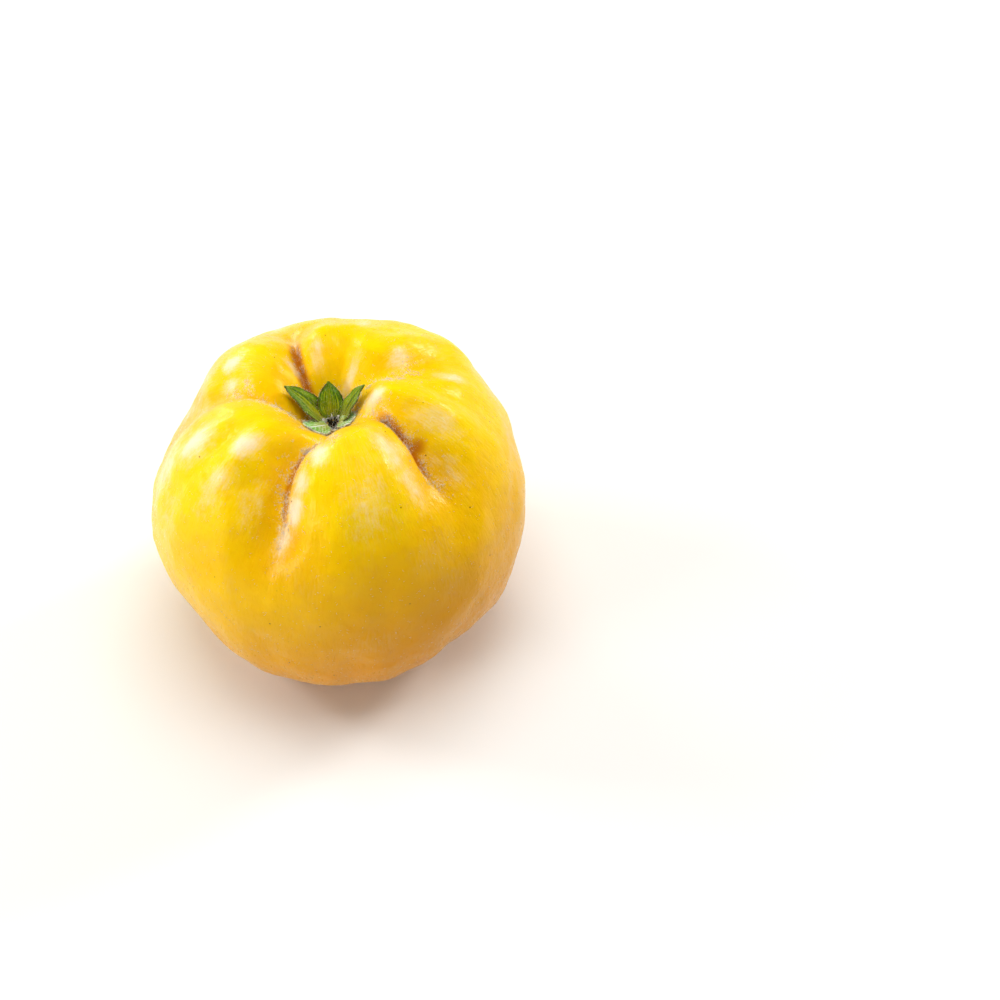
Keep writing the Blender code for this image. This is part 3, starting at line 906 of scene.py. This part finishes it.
def sepal_material(name, options, blade, vein, strength, margin):
    """A sepal: a thin leaf, matt to satin, with paler veins, a straw root and a dried or woolly margin."""
    made, tree, shader = new_material(name)
    place = add(tree, "ShaderNodeTexCoord", output="Object")
    fields = {}
    for field in ("along", "edge", "course"):
        fields[field] = add(tree, "ShaderNodeAttribute", output="Fac", attribute_name=field)
    fibres = add(tree, "ShaderNodeAttribute", output="Vector", attribute_name="fibres")
    # The fibres fan out from the root, about 0.2 mm apart
    links = {"Vector": fibres, "Scale": 1.0, "Detail": 3.0, "Roughness": 0.65}
    fields["fibres"] = add(tree, "ShaderNodeTexNoise", links, "Fac")
    for field, width in (("fluff", 0.5), ("felt", 0.35)):
        links = {"Vector": place, "Scale": 1.0 / (width * MM), "Detail": 3.0}
        fields[field] = add(tree, "ShaderNodeTexNoise", links, "Fac")
    fields["ripple"] = add(tree, "ShaderNodeMath", {0: fields["course"], 1: 0.5}, operation="PINGPONG")
    ragged = add(tree, "ShaderNodeMath", {0: fields["fluff"], 1: 0.4, 2: -0.23}, operation="MULTIPLY_ADD")
    fields["ragged"] = add(tree, "ShaderNodeMath", {0: fields["edge"], 1: ragged}, operation="ADD")
    ranges = (  # name, field, from, to, and the strengths there
        ("streaks", "fibres", 0.42, 0.58, 0.0, 0.95 - 0.75 * strength),
        ("pale streaks", "fibres", 0.46, 0.34, 0.0, 0.65),
        ("root", "along", 0.75, 0.05, 0.0, 0.85),
        ("middle", "edge", 0.95, 0.2, 0.3, 1.0),
        ("lateral", "ripple", 0.1, 0.01, 0.0, 0.3 + 0.3 * strength),
        ("inner", "edge", 0.95, 0.6, 0.0, 1.0),
        ("midrib", "edge", 0.1, 0.03, 0.0, 0.3 + 0.5 * strength),
        ("margin", "ragged", 0.84, 0.98, 0.0, 0.85),
        ("fluff", "fluff", 0.5, 0.66, 0.0, 0.4 * strength),
    )
    products = (("root", "root", "middle"), ("lateral", "lateral", "inner"))
    layers = (
        ("root", options.straw),
        ("streaks", options.dark_green),
        ("pale streaks", vein),
        ("lateral", vein),
        ("midrib", vein),
        ("fluff", options.wool),
        ("margin", margin),
    )
    surface, masks = paint(tree, blade, fields, ranges, products, layers)
    links = {0: masks["streaks"], 1: -0.5, 2: fields["felt"]}
    ribs = add(tree, "ShaderNodeMath", links, operation="MULTIPLY_ADD")
    bump = add(tree, "ShaderNodeBump", {"Height": ribs, "Strength": 0.6, "Distance": 0.14 * MM}, "Normal")
    finish = {
        "Base Color": surface,
        "Normal": bump,
        "Roughness": 0.55,
        "Subsurface Weight": 0.1,
        "Subsurface Radius": (0.4, 1.0, 0.1),
        "Subsurface Scale": 0.5 * MM,
        "Specular IOR Level": 0.3,
        "Sheen Weight": 0.1,
    }
    set_inputs(tree, shader, finish)
    return made


def make_cup(options, material):
    """The cup of the calyx: a short flared wall with a rounded rim, coloured as a woolly sepal's root."""
    tube = {"vertices": 40, "radius": options.cup_radius, "depth": options.cup_height}
    cup = primitive("calyx_cup", bpy.ops.mesh.primitive_cylinder_add, end_fill_type="NOTHING", **tube)
    places = points_of(cup)
    high = places[:, 2] > 0.0
    places[:, :2] *= np.where(high, 0.92, 0.68)[:, None]
    places[:, 2] = options.eye_height + GAP + np.where(high, options.cup_height, 0.0)
    set_points(cup, places)
    thicken(cup, 0.55 * MM, 2)
    finish_piece(cup, material, "sepal", "calyx")


def margin_hairs(options, down, draw):
    """Wool along the sepals' margins and over the two woolly ones, and curls in the cup's mouth."""
    roots, along, sizes = [], [], []
    for sepal in SEPALS:
        count = WOOLLY_HAIRS if sepal.woolly else MARGIN_HAIRS
        share = draw.uniform(0.02, 0.97, count)
        side = np.sign(draw.normal(size=count))
        if sepal.woolly:
            side = side * draw.uniform(0.1, 1.0, count) ** 0.25
        x = side * sepal.width / 2.0 * sepal_outline(share) * MM
        feet, swing = sepal_places(sepal, options, share, x, sepal.fold * np.abs(x))
        roots.append(clear_of_skin(feet, 0.3 * MM))
        away = np.stack([-np.sin(swing) * side, np.cos(swing) * side, np.full(count, 0.6)], axis=1)
        along.append(unit(away + 0.7 * draw.normal(size=(count, 3))))
        sizes.append(draw.uniform(0.35, 0.9, count) * MM * (1.0 if sepal.woolly else 0.7))
    turn = draw.uniform(0.0, 2.0 * math.pi, CURLS)
    radius = draw.uniform(1.2, 2.9, CURLS) * MM
    level = options.eye_height + draw.uniform(0.9, 2.2, CURLS) * MM
    roots.append(np.stack([radius * np.cos(turn), radius * np.sin(turn), level], axis=1))
    along.append(unit(draw.normal(size=(CURLS, 3)) + np.array([0.0, 0.0, 0.5])))
    sizes.append(draw.uniform(0.8, 1.6, CURLS) * MM)
    roots, along, sizes = np.concatenate(roots), np.concatenate(along), np.concatenate(sizes)
    bend = 0.5 * draw.normal(size=roots.shape)
    tint = draw.uniform(0.7, 1.0, len(roots))
    fine = 0.8 * down.hair_radius
    hairs = grow_hairs("calyx_wool", hair_template(1), roots, along, bend, sizes, fine, tint)
    finish_piece(hairs, wool_material("calyx wool", options.wool, down.tan), "sepal")


def make_calyx():
    """The calyx: cup, five sepals and their wool."""
    options = settings("quince_calyx")
    down = settings("quince_down")
    green = sepal_material("green sepal", options, options.green, options.straw, 0.25, options.dried)
    woolly = sepal_material("woolly sepal", options, options.pale_green, options.wool, 0.9, options.wool)
    make_cup(options, woolly)
    for index, sepal in enumerate(SEPALS):
        make_sepal(sepal, index + 1, options, woolly if sepal.woolly else green)
    margin_hairs(options, down, np.random.default_rng(down.seed + 1))


def tube_along(name, line, radii):
    """A closed six-sided tube through a line of points, with a radius for each, made a mesh."""
    curve = bpy.data.curves.new(name, "CURVE")
    curve.dimensions = "3D"
    curve.bevel_depth = 1.0
    curve.bevel_resolution = 1
    curve.use_fill_caps = True
    spline = curve.splines.new("POLY")
    spline.points.add(len(line) - 1)
    for point, place, radius in zip(spline.points, line, radii):
        point.co = (*place, 1.0)
        point.radius = radius
    tube = new_object(name, curve)
    take(tube)
    bpy.ops.object.convert(target="MESH")
    tube = bpy.context.active_object
    edit(tube, (bpy.ops.mesh.remove_doubles, {"threshold": 0.001 * MM}))
    return tube


def stamen_line(azimuth, lean, size, curl, foot):
    """A dried stamen's course: up from the cup and bent over at its end."""
    share = np.linspace(0.0, 1.0, 9)
    rise = math.radians(90.0 - lean) - curl * share**2
    step = size / 8.0
    out = 0.5 * MM + np.cumsum(np.cos(rise)) * step
    up = foot + np.cumsum(np.sin(rise)) * step
    return np.stack([out * math.cos(azimuth), out * math.sin(azimuth), up], axis=1)


def join(parts, name):
    """Makes one piece of several."""
    take(parts[0])
    for part in parts:
        part.select_set(True)
    bpy.ops.object.join()
    joined = bpy.context.active_object
    joined.name = name
    return joined


def make_stamens():
    """The dried stamens: thin bent filaments, each with a shrunken anther, on a low dark cushion."""
    options = settings("quince_stamens")
    calyx = settings("quince_calyx")
    draw = np.random.default_rng(options.seed)
    foot = calyx.eye_height + GAP
    ball = {"segments": 24, "ring_count": 12, "radius": 1.2 * MM}
    cushion = primitive("cushion", bpy.ops.mesh.primitive_uv_sphere_add, **ball)
    places = points_of(cushion)
    places[:, 2] = foot + np.maximum(places[:, 2], -0.1 * MM)
    set_points(cushion, places)
    parts = [cushion]
    anther = primitive("anther", bpy.ops.mesh.primitive_ico_sphere_add, subdivisions=2, radius=0.24 * MM)
    shape = points_of(anther) * np.array([1.0, 0.7, 1.5])
    shape *= 1.0 + 0.15 * noise_at(shape, 0.2 * MM, 1)[:, None]
    for i in range(options.filaments):
        azimuth = i * math.pi * (3.0 - math.sqrt(5.0)) + draw.uniform(-0.5, 0.5)
        lean = 8.0 + 40.0 * (i + 0.5) / options.filaments + draw.uniform(-8.0, 8.0)
        size = options.filament_length * draw.uniform(0.55, 1.0)
        line = stamen_line(azimuth, lean, size, draw.uniform(-0.6, 1.6), foot + 0.5 * MM)
        parts.append(tube_along(f"filament_{i}", line, np.linspace(0.13, 0.08, len(line)) * MM))
        tip = new_object(f"anther_{i}", anther.data.copy())
        turn = Matrix.Rotation(azimuth, 3, "Z") @ Matrix.Rotation(math.radians(2.0 * lean), 3, "Y")
        set_points(tip, shape @ np.array(turn).T + line[-1])
        parts.append(tip)
    bpy.data.objects.remove(anther)
    tuft = join(parts, "dried_stamens")
    tuft.data.shade_smooth()
    finish_piece(tuft, stamen_material(options), "stamen", "stamen_tuft")


def stamen_material(options):
    """Dried plant thread: dark brown and matt, a little paler in places."""
    made, tree, shader = new_material("dried stamen")
    place = add(tree, "ShaderNodeTexCoord", output="Object")
    links = {"Vector": place, "Scale": 1.0 / (0.6 * MM), "Detail": 3.0}
    mottle = add(tree, "ShaderNodeTexNoise", links, "Fac")
    ranges = (("faded", "mottle", 0.4, 0.7, 0.0, 0.4),)
    layers = (("faded", options.faded),)
    tone, _ = paint(tree, options.brown, {"mottle": mottle}, ranges, (), layers)
    set_inputs(tree, shader, {"Base Color": tone, "Roughness": 0.8})
    return made


def make_stalk():
    """The woody stub of the stalk: bark ridged along its length, and a torn fibrous end."""
    options = settings("quince_stalk")
    low, high = (np.array(corner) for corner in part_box("stalk_stub"))
    centre, tall = (low + high) / 2.0, high[2] - low[2]
    rod = {"vertices": 48, "radius": 1.0, "depth": 1.0, "end_fill_type": "TRIFAN"}
    stub = primitive("stalk", bpy.ops.mesh.primitive_cylinder_add, **rod)
    cut_across(stub, np.linspace(-0.5, 0.5, 15)[1:-1])
    shape = points_of(stub)
    share = 0.5 - shape[:, 2]
    azimuth = np.arctan2(shape[:, 1], shape[:, 0])
    ring = np.hypot(shape[:, 0], shape[:, 1])
    ridges = 1.0 + 0.05 * np.sin(9.0 * azimuth + 2.0 * share) + 0.03 * np.sin(23.0 * azimuth)
    waist = 1.0 - 0.26 * np.sin(math.pi * np.minimum(share * 1.25, 1.0))
    radius = 0.5 * (high[0] - low[0]) * 0.96 * ring * ridges * waist
    torn = 0.1 * np.sin(7.0 * azimuth + 5.0 * ring) * smooth_step(0.8, 1.0, share)
    drop = tall * share * (0.9 - 0.1 * np.cos(azimuth) * ring + torn)
    places = np.stack([radius * np.cos(azimuth), radius * np.sin(azimuth), high[2] - drop], axis=1)
    places[:, :2] += centre[:2]
    set_points(stub, places)
    subdivide(stub, 1)
    stub.data.shade_smooth()
    finish_piece(stub, stalk_material(options, low[2]), "stalk", "stalk_stub")


def stalk_material(options, low):
    """Rough bark, with pale wood where the stalk tore off."""
    made, tree, shader = new_material("quince stalk bark")
    place = add(tree, "ShaderNodeTexCoord", output="Object")
    height = add(tree, "ShaderNodeSeparateXYZ", {"Vector": place}, "Z")
    links = {"Vector": place, "Scale": 1.0 / (0.5 * MM), "Detail": 5.0, "Roughness": 0.65}
    grain = add(tree, "ShaderNodeTexNoise", links, "Fac")
    ranges = (
        ("cracks", "grain", 0.35, 0.7, 0.0, 1.0),
        ("torn", "height", low + 1.3 * MM, low + 0.7 * MM, 0.0, 1.0),
    )
    layers = (("cracks", options.furrow), ("torn", options.wood))
    surface, _ = paint(tree, options.bark, {"grain": grain, "height": height}, ranges, (), layers)
    bump = add(tree, "ShaderNodeBump", {"Height": grain, "Strength": 0.7, "Distance": 0.2 * MM}, "Normal")
    set_inputs(tree, shader, {"Base Color": surface, "Normal": bump, "Roughness": 0.85})
    return made


def add_softbox(name, place, size, watts, in_gloss, aim):
    """A square area light that faces aim, and may light without showing in reflections."""
    light = bpy.data.lights.new(name, "AREA")
    light.size = size
    light.energy = watts
    holder = new_object(name, light)
    holder.visible_glossy = in_gloss
    holder.location = place
    holder.rotation_euler = (Vector(aim) - Vector(place)).to_track_quat("-Z", "Y").to_euler()


def make_stage():
    """The pale floor, soft studio light and the camera at the photograph's angle."""
    options = settings("quince_stage")
    scene = bpy.context.scene
    floor = primitive("floor", bpy.ops.mesh.primitive_plane_add, size=6.0, location=(0.0, 0.0, -0.05 * MM))
    material, tree, shader = new_material("matt white studio floor")
    set_inputs(tree, shader, {"Base Color": options.floor, "Roughness": 0.9})
    floor.data.materials.append(material)

    aim = Vector((0.0, 0.0, settings("quince_skin").middle_height + 0.6 * MM))
    for softbox in SOFTBOXES:
        add_softbox(*softbox, aim)

    # The white room fills the shadows and doesn't show in the gloss
    world = bpy.data.worlds.new("white studio")
    world.use_nodes = True
    background = world.node_tree.nodes["Background"]
    set_inputs(world.node_tree, background, {"Color": (1.0, 1.0, 1.0, 1.0), "Strength": 0.25})
    world.cycles_visibility.glossy = False
    scene.world = world

    camera = bpy.data.cameras.new("camera")
    camera.lens = 85.0
    camera.sensor_width = 36.0
    holder = new_object("camera", camera)
    up = Vector((0.0, math.sin(options.elevation), math.cos(options.elevation)))
    back = Vector((0.0, -math.cos(options.elevation), math.sin(options.elevation)))
    framed = aim + Vector((options.aside, 0.0, 0.0)) - 0.1 * MM * up
    holder.location = framed + options.distance * back
    holder.rotation_euler = (math.radians(90.0) - options.elevation, 0.0, 0.0)
    scene.camera = holder
    scene.view_settings.view_transform = "Standard"
    scene.view_settings.look = "Medium High Contrast"


class QUINCE_OT_skin(bpy.types.Operator):
    """Builds the fruit with its lumpy waxy skin"""

    bl_idname = "quince.skin"
    bl_label = "Fruit and skin"

    def execute(self, context):
        make_skin()
        return {"FINISHED"}


class QUINCE_OT_down(bpy.types.Operator):
    """Grows the down on the skin"""

    bl_idname = "quince.down"
    bl_label = "Down"

    def execute(self, context):
        make_down()
        return {"FINISHED"}


class QUINCE_OT_calyx(bpy.types.Operator):
    """Builds the calyx in the basin"""

    bl_idname = "quince.calyx"
    bl_label = "Calyx"

    def execute(self, context):
        make_calyx()
        return {"FINISHED"}


class QUINCE_OT_stamens(bpy.types.Operator):
    """Builds the dried stamens in the cup"""

    bl_idname = "quince.stamens"
    bl_label = "Stamens"

    def execute(self, context):
        make_stamens()
        return {"FINISHED"}


class QUINCE_OT_stalk(bpy.types.Operator):
    """Builds the stub of the stalk, underneath"""

    bl_idname = "quince.stalk"
    bl_label = "Stalk"

    def execute(self, context):
        make_stalk()
        return {"FINISHED"}


class QUINCE_OT_stage(bpy.types.Operator):
    """Sets up the floor, the light and the camera"""

    bl_idname = "quince.stage"
    bl_label = "Stage"

    def execute(self, context):
        make_stage()
        return {"FINISHED"}


class QUINCE_PT_pieces(bpy.types.Panel):
    """Lists the quince's pieces in the 3D view's sidebar"""

    bl_label = "Quince"
    bl_idname = "QUINCE_PT_pieces"
    bl_space_type = "VIEW_3D"
    bl_region_type = "UI"
    bl_category = "Quince"

    def draw(self, context):
        for operator in OPERATORS:
            self.layout.operator(operator.bl_idname)


GROUPS = {
    "quince_skin": QuinceSkinSettings,
    "quince_down": QuinceDownSettings,
    "quince_calyx": QuinceCalyxSettings,
    "quince_stamens": QuinceStamenSettings,
    "quince_stalk": QuinceStalkSettings,
    "quince_stage": QuinceStageSettings,
}
OPERATORS = (
    QUINCE_OT_skin,
    QUINCE_OT_down,
    QUINCE_OT_calyx,
    QUINCE_OT_stamens,
    QUINCE_OT_stalk,
    QUINCE_OT_stage,
)


def register():
    for name, group in GROUPS.items():
        bpy.utils.register_class(group)
        setattr(bpy.types.Scene, name, bpy.props.PointerProperty(type=group))
    for operator in OPERATORS:
        bpy.utils.register_class(operator)
    bpy.utils.register_class(QUINCE_PT_pieces)


def unregister():
    bpy.utils.unregister_class(QUINCE_PT_pieces)
    for operator in reversed(OPERATORS):
        bpy.utils.unregister_class(operator)
    for name, group in reversed(GROUPS.items()):
        delattr(bpy.types.Scene, name)
        bpy.utils.unregister_class(group)


def main():
    register()
    bpy.ops.quince.skin()
    bpy.ops.quince.down()
    bpy.ops.quince.calyx()
    bpy.ops.quince.stamens()
    bpy.ops.quince.stalk()
    bpy.ops.quince.stage()


if __name__ == "__main__":
    main()
